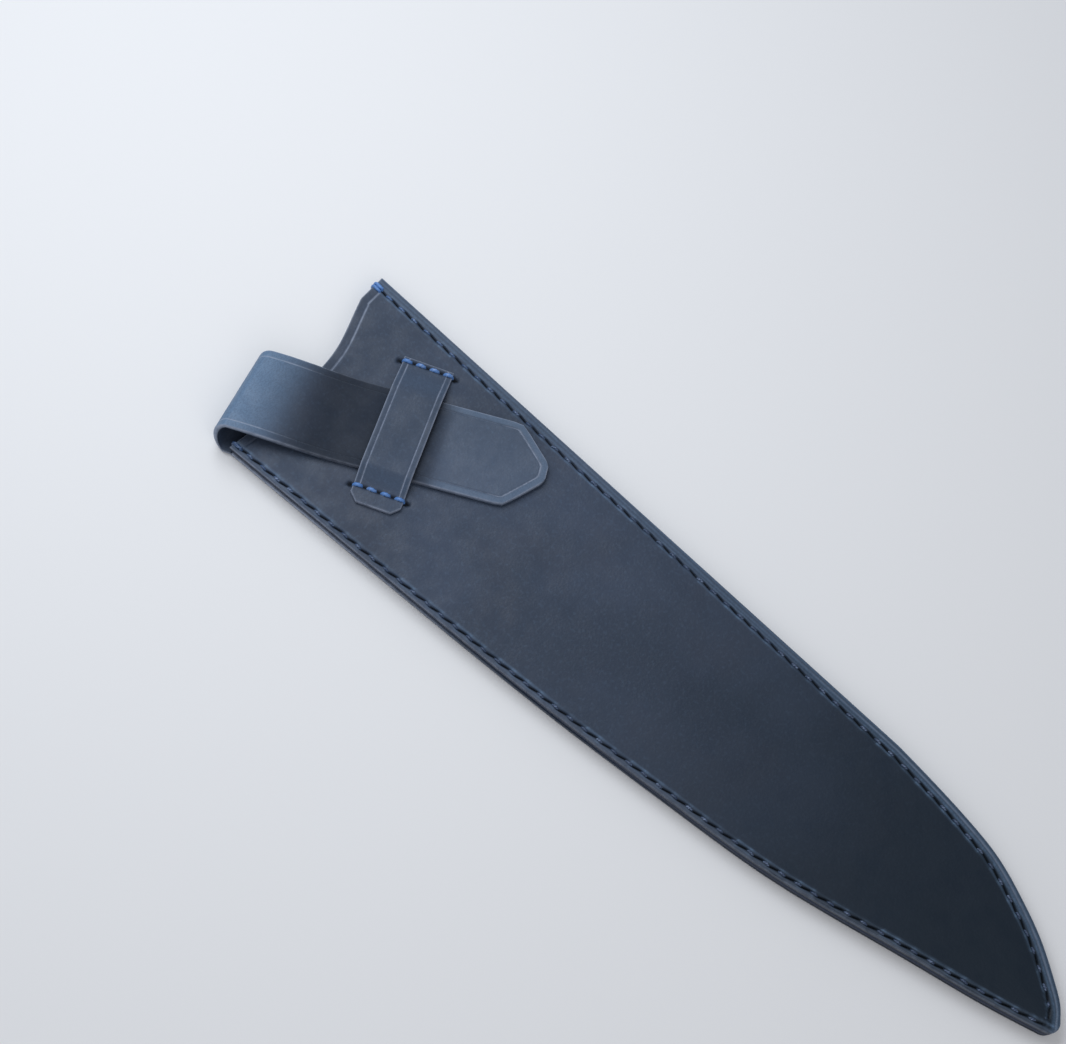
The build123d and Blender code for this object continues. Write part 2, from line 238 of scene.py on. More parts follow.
class Recipe:
    """A material's node tree, with short ways to add nodes and join them."""

    def __init__(self, name):
        self.material = bpy.data.materials.new(name)
        self.material.use_nodes = True
        self.tree = self.material.node_tree
        self.place = self.add("ShaderNodeTexCoord").outputs["Object"]

    def feed(self, node, values):
        """Gives sockets, by number or name, their numbers, colours or other nodes' outputs."""
        for key, value in values.items():
            socket = node.inputs[key]
            if isinstance(value, bpy.types.NodeSocket):
                self.tree.links.new(value, socket)
            else:
                socket.default_value = (*value, 1) if socket.type == "RGBA" else value

    def add(self, kind, sockets=None, **settings):
        """A node of this kind, with its settings made and its sockets fed."""
        made = self.tree.nodes.new(kind)
        for key, value in settings.items():
            setattr(made, key, value)
        self.feed(made, sockets or {})
        return made

    def noise(self, per_mm, detail=3.0, stretch=(1, 1, 1)):
        """Soft noise with this many features per millimetre, from 0 to 1."""
        place = self.add("ShaderNodeMapping", {"Vector": self.place, "Scale": stretch}).outputs[0]
        sockets = {"Vector": place, "Scale": per_mm / mm, "Detail": detail}
        return self.add("ShaderNodeTexNoise", sockets).outputs["Fac"]

    def attribute(self, name):
        """A mark that a piece's mesh carries at its points."""
        return self.add("ShaderNodeAttribute", attribute_name=name).outputs["Fac"]

    def ramp(self, source, low, high, to_low=0.0, to_high=1.0):
        """Maps a value between two limits, smoothly, and holds it outside them."""
        sockets = dict(enumerate((source, low, high, to_low, to_high)))
        return self.add("ShaderNodeMapRange", sockets, interpolation_type="SMOOTHSTEP").outputs[0]

    def times(self, first, second, kind="MULTIPLY"):
        """The product of two values, or their sum with ADD: each a number or an output."""
        return self.add("ShaderNodeMath", {0: first, 1: second}, operation=kind).outputs[0]

    def blend(self, share, first, second):
        """A mix of two colours, each a colour or a node's output."""
        return self.add("ShaderNodeMix", {0: share, 6: first, 7: second}, data_type="RGBA").outputs[2]

    def bump(self, height, depth, **under):
        """A relief this deep, on top of the one that is given as Normal, if any."""
        sockets = {"Height": height, "Distance": depth, **under}
        return self.add("ShaderNodeBump", sockets).outputs["Normal"]

    def finish(self, colour, rough, **others):
        """The material, once its surface is fed."""
        sockets = {"Base Color": colour, "Roughness": rough, **others}
        self.feed(self.tree.nodes["Principled BSDF"], sockets)
        return self.material


def waxed_leather(name):
    """Mottled navy that darkens along X, partly dye and partly painted shade; then paler wax where
    pulled, with painted light where marked; rubbed lines, some of them painted highlights; and
    painted shade in the slits; over pores, fibres and shallow dents."""
    recipe = Recipe(name)
    mottle = recipe.ramp(recipe.noise(0.035, 6), 0.36, 0.66)
    colour = recipe.blend(mottle, leather_deep, leather_navy)
    warm = recipe.ramp(recipe.noise(0.05, 4), 0.50, 0.72, 0, 0.28)
    colour = recipe.blend(warm, colour, leather_warm)
    haze = recipe.ramp(recipe.noise(1.1, 5), 0.48, 0.78, 0, 0.12)
    colour = recipe.blend(haze, colour, leather_bloom_and_glint)
    split = recipe.add("ShaderNodeSeparateXYZ", {0: recipe.place})
    # Darker towards the tip: partly dye, partly painted shade where the lamp's light falls off.
    far = recipe.ramp(split.outputs["X"], tip_dark_from, tip_dark_to, 0, tip_dark_share)
    colour = recipe.blend(far, colour, leather_tip_shade_and_dye)
    fibre = recipe.noise(3.2, 5, (1.0, 0.6, 1.0))
    grit = recipe.ramp(fibre, 0.36, 0.62, 0.72, 1.0)
    # Pale wax where marked, and painted light there too: glints beside the slits and the keeper's ramps.
    colour = recipe.blend(recipe.times(recipe.attribute("bloom_and_painted_light"), grit), colour, leather_bloom_and_glint)
    broken = recipe.ramp(recipe.noise(0.5, 5), 0.30, 0.62, 0.62, 1.0)
    # Rubbed lines, partly wear and partly painted highlights on rims and edges.
    colour = recipe.blend(recipe.times(recipe.attribute("wear_and_highlight"), broken), colour, leather_wear_and_highlight)
    # Painted shade: near black down in the slits, and wherever else the slit mark darkens a piece.
    slit_and_shade = recipe.attribute("slit_and_shade")
    colour = recipe.blend(slit_and_shade, colour, leather_slit_shade)
    rough = recipe.ramp(recipe.noise(0.18, 6), 0.3, 0.7, 0.42, 0.60)
    rough = recipe.times(rough, recipe.times(slit_and_shade, 0.4), "ADD")
    sockets = {"Vector": recipe.place, "Scale": pores_per_mm / mm, "Smoothness": 0.6}
    pores = recipe.add("ShaderNodeTexVoronoi", sockets, feature="SMOOTH_F1")
    grain = recipe.bump(pores.outputs["Distance"], pore_depth)
    grain = recipe.bump(recipe.noise(3.5, 4), fibre_depth, Normal=grain)
    grain = recipe.bump(recipe.noise(0.12, 3), dent_depth, Normal=grain)
    return recipe.finish(colour, rough, Normal=grain, **{"Specular IOR Level": leather_shine})


panel_leather = waxed_leather("panel_leather")

# Front panel: one piece of leather, sewn to the welts round its rim. Its margin is pressed
# down, awl slits follow the rim, and a line is creased inside the mouth. Each end of the
# keeper adds two larger holes.
stitch_pitch = 4.7 * mm
seam_start = 3.4 * mm
seam_stop = 1.5 * mm
spine_inset = 3.0 * mm
edge_inset = 1.5 * mm
slit_half_length = 1.70 * mm
slit_half_width = 0.22 * mm
slit_depth = 0.75 * mm
slit_slant = math.radians(9)
rim_round = 0.45 * mm
margin_drop = 0.16 * mm
groove_depth = 0.16 * mm
groove_half_width = 0.62 * mm
inner_lip = 0.75 * mm
inner_lip_half_width = 0.28 * mm
outer_lip = 0.70 * mm
outer_lip_half_width = 0.25 * mm
crown = 0.22 * mm
crown_reach = 9.0 * mm
mouth_crease_inset = 2.6 * mm
margin_crease_inset = 1.25 * mm
crease_half_width = 0.24 * mm
crease_depth = 0.20 * mm
crease_end = 1.5 * mm
rim_line_half_width = 0.28 * mm
streak_spacing = 1.0 * mm
streak_depth = 0.04 * mm
wall_fade_from = 0.8 * panel_low[0]
wall_fade_to = 0.1 * panel_low[0]
spine_rows = np.array([
    0, 0.06, 0.15, 0.28, 0.45, 0.7, 0.95, 1.15, 1.35, 1.6, 1.95, 2.25, 2.45, 2.65, 2.85, 3.0, 3.15, 3.35,
    3.55, 3.8, 4.1, 4.5, 5.0, 5.6, 6.3, 7.0,
]) * mm
edge_rows = np.array([
    0, 0.06, 0.15, 0.28, 0.45, 0.65, 0.85, 1.0, 1.15, 1.3, 1.45, 1.6, 1.75, 1.95, 2.2, 2.5, 2.9, 3.4,
    4.0, 4.7, 5.5, 6.3,
]) * mm
keeper_angle = math.radians(24.3)
keeper_centre = np.array([panel_low[0] + 35.8 * mm, panel_low[1] + panel_high[1] + 3.45 * mm])
keeper_row_spacing = 37.74 * mm
keeper_row_pitch = 3.85 * mm
keeper_row_holes = 5
keeper_row_steps = (np.arange(keeper_row_holes) - (keeper_row_holes - 1) / 2) * keeper_row_pitch
keeper_hole_half_length = 1.05 * mm
keeper_hole_half_width = 0.55 * mm
front_columns = 670
front_middle_rows = 84
front_wall_drop = 0.75 * mm
layer_gap = 0.10 * mm
luck = np.random.default_rng(7)


def bell(offset, half_width, power=2):
    """A smooth hump: 1 at no offset, falling away past the half width."""
    return np.exp(-np.abs(offset / half_width) ** power)


def ease(value, low, high):
    """A smooth step from 0 at the low limit to 1 at the high limit."""
    share = np.clip((value - low) / (high - low), 0, 1)
    return share * share * (3 - 2 * share)


def rounding(depth, radius):
    """How far a rounded rim falls away at a distance in from it: a quarter circle."""
    inside = np.clip(radius - depth, 0, radius)
    return radius - np.sqrt(radius**2 - inside**2)


def seam_holes(line, inset, side):
    """The stitch holes' distances along a side, their places and their seam's directions."""
    span = run_of(line)[-1] - seam_start - seam_stop
    count = round(span / stitch_pitch)
    at = seam_start + span * np.arange(count + 1) / count
    return at, along(line, at) + inward(line, at, side) * inset, heading(line, at)


def seam_relief(points, share, line, inset, side):
    """Depth below the rim's line, and slit, groove and glint shares, of one sewn side.

    Each point is measured from the nearest hole: along the seam and square to it, turned by
    the awl's slant. The slit is a long flat bell there, painted near black as the shade down in
    it. The glint is a painted highlight on the lip on either side of the slits, brighter between
    two of them and by chance brighter at some stitches."""
    at, holes, directions = seam_holes(line, inset, side)
    station = share * run_of(line)[-1]
    offset = points - along(line, station)[:, None]
    depth = dot(offset, inward(line, station, side)[:, None])
    station = station[:, None] + dot(offset, heading(line, station)[:, None])
    pitch = at[1] - at[0]
    nearest = np.clip(np.rint((station - at[0]) / pitch), 0, len(at) - 1).astype(int)
    offset = points - holes[nearest]
    turn = directions[nearest]
    lengthwise, sideways = dot(offset, turn), dot(offset, -side * left_of(turn))
    slanted = sideways * math.cos(slit_slant) - lengthwise * math.sin(slit_slant)
    slit_and_shade = bell(lengthwise, slit_half_length, 4) * bell(slanted, slit_half_width)
    groove = bell(depth - inset, groove_half_width)
    brightness = 0.45 + 0.55 * bell(np.abs(lengthwise) - pitch / 2, pitch / 5)
    lips = bell(sideways - inner_lip, inner_lip_half_width)
    lips += 0.5 * bell(sideways + outer_lip, outer_lip_half_width)
    glint = brightness * lips * luck.uniform(0.15, 1.0, len(at))[nearest]
    return depth, slit_and_shade, groove, glint


def sewn_grid(columns, middle_rows):
    """The sheath's patch of points: rows at set distances in from both sewn sides, closer where
    the sheath is narrow, and even rows between them."""
    share, low, high, low_width, high_width = sheath_columns(columns)
    low_fit = np.minimum(1, 0.47 * low_width / edge_rows[-1])[:, None]
    high_fit = np.minimum(1, 0.47 * high_width / spine_rows[-1])[:, None]
    low_band = edge_rows * low_fit / low_width[:, None]
    high_band = 1 - spine_rows[::-1] * high_fit / high_width[:, None]
    fill = np.linspace(0, 1, middle_rows + 2)[1:-1]
    middle = low_band[:, -1:] * (1 - fill) + high_band[:, :1] * fill
    cross = np.hstack([low_band, middle, high_band])
    return share, cross, sheath_point(share, low, high, cross)


def sewn_relief(share, cross, points):
    """The sewn face's height above its flat level, its slit mark (painted shade in the slits), its
    rubbed mark (wear, with painted highlights on the rim) and its pulled mark (pale wax, with
    the seam's painted glints), and how far each point is from the mouth. The height is a crown
    that rises inside the seam, less the pressed margin, the groove, the slits, the creases and
    the rim's quarter circle."""
    spine_depth, *spine_marks = seam_relief(points, share, spine_side, spine_inset, 1)
    edge_depth, *edge_marks = seam_relief(points, share, edge_side, edge_inset, -1)
    slit_and_shade, groove, glint = np.maximum(spine_marks, edge_marks)
    mouth_at = cross * mouth_run
    mouth_depth = dot(points - along(mouth_edge, mouth_at), inward(mouth_edge, mouth_at, 1))
    nose_depth = dot(points - along(nose, cross * nose_run), inward(nose, cross * nose_run, -1))
    rim = np.minimum.reduce([spine_depth, edge_depth, np.abs(mouth_depth), np.abs(nose_depth)])
    rim = np.clip(rim, 0, None)
    outside = np.maximum(
        1 - ease(spine_depth, 0.5 * spine_inset, spine_inset),
        1 - ease(edge_depth, 0.4 * edge_inset, edge_inset),
    )
    inner = np.minimum(spine_depth - spine_inset, edge_depth - edge_inset)
    height = crown * ease(inner, 0, crown_reach) - margin_drop * outside
    height -= groove_depth * groove + slit_depth * slit_and_shade
    crease = bell(mouth_depth - mouth_crease_inset, crease_half_width) * ease(inner, 0, crease_end)
    late = ease(share, 0.45, 0.8)[:, None]
    margin_crease = bell(spine_depth - margin_crease_inset, crease_half_width) * late
    height -= crease_depth * (crease + 0.6 * margin_crease)
    height -= rounding(rim, rim_round)
    early = 1 - ease(share, 0.0, 0.5)[:, None]
    # The mouth crease's pale line fades out near the heel: painted shade where the strap's loop shades
    # it.
    crease = crease * ease(cross, 0.12, 0.3)
    # The rim's pale line: partly wear, partly a painted highlight, brighter towards the mouth where the
    # lamp is.
    wear_and_rim_highlight = (0.25 + 0.40 * early) * bell(rim, rim_line_half_width)
    wear_and_rim_highlight += 0.75 * crease + 0.35 * margin_crease
    wear_and_rim_highlight += (0.10 - 0.16 * early) * (1 - ease(edge_depth, 0.5 * edge_inset, edge_inset))
    # Painted highlight: the glints beside the slits; the margin's pale wax is added below.
    bloom_and_painted_light = 0.90 * glint
    streak_turn = 2 * np.pi * spine_depth / streak_spacing + 2 * np.sin(9 * share)[:, None]
    streaks = 0.5 + 0.5 * np.sin(streak_turn)
    margin = 1 - ease(spine_depth, 0.6 * spine_inset, spine_inset)
    bloom_and_painted_light += (0.12 + 0.12 * late + 0.24 * streaks) * margin
    height -= streak_depth * streaks * margin
    return height, slit_and_shade, np.clip(wear_and_rim_highlight, 0, 1), np.clip(bloom_and_painted_light, 0, 1), mouth_depth


def sheet_faces(columns, rows, rings):
    """Quads of a grid, then of the rings round its rim, then of a coarser grid that closes them."""
    index = np.arange(columns * rows).reshape(columns, rows)
    quads = np.stack([index[:-1, :-1], index[1:, :-1], index[1:, 1:], index[:-1, 1:]], -1).reshape(-1, 4)
    loop = rim_of(index)
    faces, count = quads.tolist(), columns * rows
    for _ in range(rings):
        ring = np.arange(count, count + len(loop))
        after, ring_after = np.roll(loop, -1), np.roll(ring, -1)
        faces += np.stack([after, loop, ring, ring_after], -1).tolist()
        loop, count = ring, count + len(ring)
    ribs = ribs_of(rows)
    place = np.zeros(columns * rows, int)
    place[rim_of(index)] = loop
    inner = index[1:-1, ribs[1:-1]].ravel()
    place[inner] = count + np.arange(len(inner))
    place = place.reshape(columns, rows)
    under = place[1:-1, ribs]
    quads = np.stack([under[:-1, 1:], under[1:, 1:], under[1:, :-1], under[:-1, :-1]], -1)
    faces += quads.reshape(-1, 4).tolist()
    for a, b in zip(ribs[:-1], ribs[1:]):
        faces.append([*place[0, a:b + 1].tolist(), int(place[1, b]), int(place[1, a])])
        faces.append([int(place[-2, a]), int(place[-2, b]), *place[-1, a:b + 1][::-1].tolist()])
    return faces


def rim_of(grid):
    """A grid's values once round its rim, in the order of the rings below it."""
    return np.concatenate([grid[:-1, 0], grid[-1, :-1], grid[:0:-1, -1], grid[0, :0:-1]])


def ribs_of(rows):
    """The few rows of a sewn grid that its under side keeps."""
    inner = np.linspace(len(edge_rows) - 1, rows - len(spine_rows), 6).round().astype(int)
    return np.concatenate([[0], inner, [rows - 1]])


def with_walls(values, grid, amounts):
    """A mark's values on the face, then on each ring: an amount that fades from the mouth on."""
    fade = 1 - ease(rim_of(grid[..., 0]), wall_fade_from, wall_fade_to)
    return np.concatenate([values.ravel()] + [amount * fade for amount in amounts])


def walled_sheet(points, outer_z, rings):
    """The outer face's points, then its rim carried down: each ring has an inset and a height."""
    top = np.dstack([points, outer_z])
    rim = rim_of(points)
    turn = np.roll(rim, -1, axis=0) - np.roll(rim, 1, axis=0)
    turn /= np.linalg.norm(turn, axis=1, keepdims=True)
    inside = left_of(turn)
    walls = [np.column_stack([rim + inside * inset, np.full(len(rim), z)]) for inset, z in rings]
    under = points[1:-1][:, ribs_of(points.shape[1])[1:-1]].reshape(-1, 2)
    under = np.column_stack([under, np.full(len(under), rings[-1][1])])
    return np.vstack([top.reshape(-1, 3)] + walls + [under])


def piece(name, points, faces, material, nodes, body, marks=None, sharp=40):
    """A closed smooth mesh that stands for CAD nodes and rides on their body.

    Its volume is the sum over the faces of the corner products, and its faces are turned
    round where that is negative. Given two bodies, it is parented to neither."""
    mesh = bpy.data.meshes.new(name)
    mesh.from_pydata(points.tolist(), [], faces)
    mesh.update()
    mesh.calc_loop_triangles()
    corners = np.zeros(len(mesh.loop_triangles) * 3, int)
    mesh.loop_triangles.foreach_get("vertices", corners)
    a, b, c = (points[corners[n::3]] for n in range(3))
    if dot(a, np.cross(b, c)).sum() < 0:
        mesh.flip_normals()
    for mark, values in (marks or {}).items():
        spare = np.zeros(len(points), np.float32)
        spare[:values.size] = values.ravel()
        mesh.attributes.new(mark, "FLOAT", "POINT").data.foreach_set("value", spare)
    mesh.polygons.foreach_set("use_smooth", np.ones(len(mesh.polygons), bool))
    mesh.set_sharp_from_angle(angle=math.radians(sharp))
    mesh.materials.append(material)
    made = add_object(name, mesh)
    if isinstance(body, str):
        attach(made, body)
    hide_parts(*nodes)
    return made


def unit(angle):
    """The direction at an angle: its cosine along X and its sine along Y."""
    return np.array([math.cos(angle), math.sin(angle)])


def keeper_row(side):
    """The stitch holes of the keeper's upper row, at +1, or of its lower one, at -1."""
    middle = keeper_centre + side * keeper_across * keeper_row_spacing / 2
    return middle + keeper_row_steps[:, None] * keeper_along


keeper_along = unit(keeper_angle)
keeper_across = left_of(keeper_along)
front_share, front_cross, front_points = sewn_grid(front_columns, front_middle_rows)
front_height, front_slit, front_rubbed, front_bloom_and_glint, _ = sewn_relief(
    front_share, front_cross, front_points,
)
for hole in np.vstack([keeper_row(-1)[[0, -1]], keeper_row(1)[[0, -1]]]):
    from_hole = front_points - hole
    keeper_slit = bell(dot(from_hole, keeper_along), keeper_hole_half_length, 4)
    keeper_slit = keeper_slit * bell(dot(from_hole, keeper_across), keeper_hole_half_width, 4)
    front_slit = np.maximum(front_slit, keeper_slit)
    front_height = front_height - slit_depth * keeper_slit
x, y = front_points[..., 0] / mm, front_points[..., 1] / mm
wander = 0.05 * np.sin(x / 23 + 1.1) * np.cos(y / 13) + 0.04 * np.sin(x / 9.5 + y / 7.1)
front_height = front_height + mm * wander * ease(front_cross * (1 - front_cross), 0.02, 0.12)
front_rings = [(0, top_z - front_wall_drop), (0, front_z + 2 * layer_gap), (layer_gap, front_z)]
piece(
    "front_panel_leather",
    walled_sheet(front_points, top_z + front_height, front_rings),
    sheet_faces(*front_cross.shape, len(front_rings)),
    panel_leather, ["front_panel"], "sheath",
    {
        # Near the mouth the walls carry half the slit mark, painted shade on the side wall under the
        # rim, and the top ring a faint rubbed line.
        "slit_and_shade": with_walls(front_slit, front_points, (0.5, 0.5, 0.5)), "bloom_and_painted_light": front_bloom_and_glint,
        "wear_and_highlight": with_walls(front_rubbed, front_points, (0.1, 0, 0)),
    },
)

# Back panel: the same template, sewn with the same holes. The strap is cut in one with it, so
# the stretch of its mouth where the strap leaves has no rounded rim.
back_columns = 560
back_middle_rows = 24
back_wall_top = 0.9 * mm
back_relief_share = 0.8
back_sink = 0.02 * mm
tab_share = 0.42
tab_reach = 1.2 * mm
back_share, back_cross, back_points = sewn_grid(back_columns, back_middle_rows)
back_height, back_slit, back_rubbed, back_bloom_and_glint, back_mouth = sewn_relief(
    back_share, back_cross, back_points,
)
at_tab = 1 - ease(back_cross, tab_share, tab_share + 0.02)
near_mouth = bell(back_mouth, tab_reach)
back_height = back_height + rounding(np.abs(back_mouth), rim_round) * at_tab * (back_cross > 0.02)
back_rubbed = back_rubbed * (1 - at_tab * near_mouth)
back_height = np.minimum(back_relief_share * back_height - back_sink, 0)
back_rings = [(0, back_wall_top), (0, welt_z - 2 * layer_gap), (layer_gap, welt_z)]
piece(
    "back_panel_leather",
    walled_sheet(back_points, -back_height, back_rings),
    sheet_faces(*back_cross.shape, len(back_rings)),
    panel_leather, ["back_panel"], "sheath",
    {
        "slit_and_shade": back_slit, "bloom_and_painted_light": back_bloom_and_glint,
        # Near the mouth the walls carry the full rubbed colour: a painted highlight along the back
        # panel's lower edge.
        "wear_and_highlight": with_walls(back_rubbed, back_points, (1.0, 1.0, 1.0)),
    },
)

# Welts: two strips of leather between the panels, which hold the pocket open. Their outer
# walls are burnished with the panels' edges into one dark, slightly domed band. The one along
# the cutting edge is set back a little near the heel.
edge_navy = (0.003, 0.013, 0.044)
edge_grey = (0.014, 0.032, 0.078)
welt_width = 6.0 * mm
welt_bulge = 0.06 * mm
welt_set_back = 0.40 * mm
welt_wall = np.linspace(0, 1, 7)
welt_columns = 420
most_of_width = 0.48
nose_start = 0.97
nose_columns = 14
nose_fan_share = 0.3
welt_lap_share = 0.004


def burnished_leather(name):
    """Cut leather polished with wax: dark navy, with paler fibres that run along the wall."""
    recipe = Recipe(name)
    layers = recipe.noise(0.5, 5, (0.12, 0.3, 3.0))
    colour = recipe.blend(recipe.ramp(layers, 0.48, 0.75, 0, 0.6), edge_navy, edge_grey)
    grain = recipe.bump(layers, 0.12 * mm)
    grain = recipe.bump(recipe.noise(2.5, 3), 0.04 * mm, Normal=grain)
    return recipe.finish(colour, 0.5, Normal=grain, **{"Specular IOR Level": 0.2})


def ring_faces(stations, around):
    """Quads between closed rings of points, with a face over each end."""
    index = np.arange(stations * around).reshape(stations, around)
    after = np.roll(index, -1, axis=1)
    faces = np.stack([index[:-1], after[:-1], after[1:], index[1:]], -1).reshape(-1, 4).tolist()
    return faces + [index[0][::-1].tolist(), index[-1].tolist()]


def welt_rings(side):
    """Rings across a welt: up its domed outer wall, then back down its inner one. The spine's
    welt fans out round the nose, and the edge's one laps it there."""
    share, low, high, low_width, high_width = sheath_columns(welt_columns)
    reach = np.minimum(welt_width / (high_width if side > 0 else low_width), most_of_width)
    cross = np.stack([0 * reach, reach], -1)
    if side > 0:
        cross = 1 - cross
    straight = share < (nose_start if side > 0 else nose_start + welt_lap_share)
    places = sheath_point(share, low, high, cross)[straight]
    outer, inner = places[:, 0], places[:, 1]
    if side < 0:
        set_back = welt_set_back * (1 - ease(share[straight], 0.3, 0.7))
        outer = outer + set_back[:, None] * inward(edge_side, share[straight] * edge_run, -1)
    else:
        turn = np.linspace(nose_start, 1, nose_columns)
        round_nose = np.vstack([
            along(spine_side, turn * spine_run), nose[-2:0:-2], along(edge_side, turn[::-1] * edge_run),
        ])
        middle = (round_nose[0] + round_nose[-1]) / 2
        outer = np.vstack([outer, round_nose])
        inner = np.vstack([inner, middle + nose_fan_share * (round_nose - middle)])
    out = (outer - inner) / np.linalg.norm(outer - inner, axis=1, keepdims=True)
    dome = (welt_bulge * 2 * np.sin(np.pi * welt_wall) - welt_bulge)[None, :, None]
    wall = outer[:, None] + out[:, None] * dome
    heights = welt_z + (front_z - welt_z) * welt_wall
    wall = np.dstack([wall, np.broadcast_to(heights, wall.shape[:2])])
    back = [np.column_stack([inner, np.full(len(inner), z)]) for z in (front_z, welt_z)]
    return np.concatenate([wall, np.stack(back, 1)], axis=1)


burnished = burnished_leather("welt_leather")
for name, side in (("spine_welt", 1), ("edge_welt", -1)):
    rings = welt_rings(side)
    piece(
        f"{name}_leather", rings.reshape(-1, 3), ring_faces(*rings.shape[:2]),
        burnished, [name], "sheath",
    )

# Seam thread: two-ply waxed navy thread, painted a lit blue near the mouth, with painted highlights
# on its plies' crests. Each stitch comes up out of one slit and goes down the next, on both faces,
# and turns over the mouth's edge lock both its ends.
thread_radius = 0.34 * mm
thread_navy = (0.015, 0.027, 0.058)
thread_lit_blue = (0.085, 0.215, 0.520)
thread_highlight = (0.270, 0.350, 0.520)
thread_around = 8
thread_steps = 8
ply_ridge = 0.16
ply_turns = 1.6
stitch_gap = 1.42 * mm
stitch_slant = 0.06 * mm
stitch_lift = 0.05 * mm
wrap_reach = 8 * mm
wrap_near = 0.8 * mm
wrap_lift = 0.2 * mm
wrap_squareness = 0.45
wrap_spacing = 1.0 * mm


def waxed_thread(name):
    """Dark navy thread, painted a lit blue near the mouth and on the keeper, and with a painted
    highlight along the crests of its plies.
    """
    recipe = Recipe(name)
    colour = recipe.blend(recipe.attribute("thread_painted_light"), thread_navy, thread_lit_blue)
    fibre = recipe.ramp(recipe.noise(1.6, 4), 0.42, 0.66, 0.15, 1.0)
    colour = recipe.blend(recipe.times(fibre, recipe.attribute("ply_crest_highlight")), colour, thread_highlight)
    return recipe.finish(colour, 0.42, Normal=recipe.bump(recipe.noise(5.0, 3), 0.05 * mm))


def tube(path, radius, turns):
    """Rings round a path, with two plies: the radius swells twice round, and twists along it."""
    step = np.gradient(path, axis=-2)
    step /= np.linalg.norm(step, axis=-1, keepdims=True)
    side = np.cross(step, (0, 0, 1.0))
    flat = np.linalg.norm(side, axis=-1, keepdims=True)
    side = np.where(flat > 0.05, side / np.maximum(flat, 1e-9), np.roll(side, 1, axis=-2))
    side /= np.linalg.norm(side, axis=-1, keepdims=True)
    over = np.cross(side, step)
    angle = np.linspace(0, 2 * np.pi, thread_around, endpoint=False)
    twist = angle - np.linspace(0, turns * 2 * np.pi, path.shape[-2])[:, None]
    ridge = np.cos(2 * twist)
    spread = radius * (1 + ply_ridge * ridge)
    ring = side[..., None, :] * (np.cos(angle) * spread)[..., None]
    ring = ring + over[..., None, :] * (np.sin(angle) * spread)[..., None]
    return path[..., None, :] + ring, np.broadcast_to(0.5 + 0.5 * ridge, ring.shape[:-1])


def stitches(holes, level, up, rise, bury, radius, gap=stitch_gap):
    """Tubes from near one hole to near the next, arched: their height is a blunt sine between
    two buried ends. Each slants and rises a little by chance."""
    turn = holes[1:] - holes[:-1]
    turn /= np.linalg.norm(turn, axis=1, keepdims=True)
    start, end = (holes[:-1] + turn * gap)[:, None], (holes[1:] - turn * gap)[:, None]
    share = np.linspace(0, 1, thread_steps)[:, None]
    slant = left_of(turn)[:, None] * luck.normal(0, stitch_slant, (len(turn), 1, 1))
    flat = start * (1 - share) + end * share + slant * (2 * share - 1)
    arch = np.sin(np.pi * share[:, 0]) ** 0.55
    height = level + up * (rise + bury) * arch - up * bury
    height = height + luck.normal(0, stitch_lift, (len(turn), 1))
    return tube(np.dstack([flat, height]), radius, ply_turns)


def thread_piece(name, parts, nodes, thread_painted_light):
    """One piece from many tubes: their points in a row, and each tube's faces counted on."""
    points, faces, ply_crest_highlight, shade, count = [], [], [], [], 0
    for (rings, crests), shine in zip(parts, thread_painted_light):
        rings = rings.reshape(-1, *rings.shape[-3:])
        one_tube = ring_faces(rings.shape[1], rings.shape[2])
        size = rings.shape[1] * rings.shape[2]
        for _ in range(len(rings)):
            faces += [[corner + count for corner in face] for face in one_tube]
            count += size
        points.append(rings.reshape(-1, 3))
        # Painted highlight on the plies' crests, by chance stronger on some tubes.
        ply_crest_highlight.append((crests * luck.uniform(0.1, 1.0, (len(rings), 1, 1))).ravel())
        shade.append(np.repeat(np.broadcast_to(shine, len(rings)), size))
    marks = {"ply_crest_highlight": np.concatenate(ply_crest_highlight), "thread_painted_light": np.concatenate(shade)}
    return piece(name, np.vstack(points), faces, blue_thread, nodes, "sheath", marks, 60)


blue_thread = waxed_thread("thread")
spine_holes = seam_holes(spine_side, spine_inset, 1)[1]
edge_holes = seam_holes(edge_side, edge_inset, -1)[1]
all_holes = np.vstack([spine_holes, edge_holes[::-1]])
front_seam = stitches(
    all_holes, top_z - groove_depth, up=1, rise=0.02 * mm, bury=0.7 * mm, radius=thread_radius,
)
back_seam = stitches(
    all_holes, groove_depth, up=-1, rise=-0.30 * mm, bury=0.5 * mm, radius=0.9 * thread_radius,
)


def mouth_wrap(hole, back_along, shift, low_z, turns):
    """A turn over the mouth's edge: a rounded box in the upright plane through a hole, from the
    hole's near end to the edge; all of it, or only its upper front half."""
    aside = left_of(back_along) * shift
    reach = np.linspace(0, wrap_reach, 400)
    track = hole + aside + reach[:, None] * back_along
    edge = reach[np.argmax(track[:, 0] < np.interp(track[:, 1], mouth_edge[:, 1], mouth_edge[:, 0]))]
    angle = np.linspace(math.pi, math.pi - turns * 2 * math.pi, 40)
    across, upright = (
        np.sign(wave(angle)) * np.abs(wave(angle)) ** wrap_squareness for wave in (np.cos, np.sin)
    )
    distance = (wrap_near + edge) / 2 + ((edge - wrap_near) / 2 + 0.6 * thread_radius) * across
    height = (top_z + low_z) / 2 + ((top_z - low_z) / 2 + wrap_lift) * upright
    flat = hole + aside + distance[:, None] * back_along
    path = np.column_stack([flat, np.clip(height, thread_radius, None)])
    return tube(path, 1.4 * thread_radius, 4 * turns)


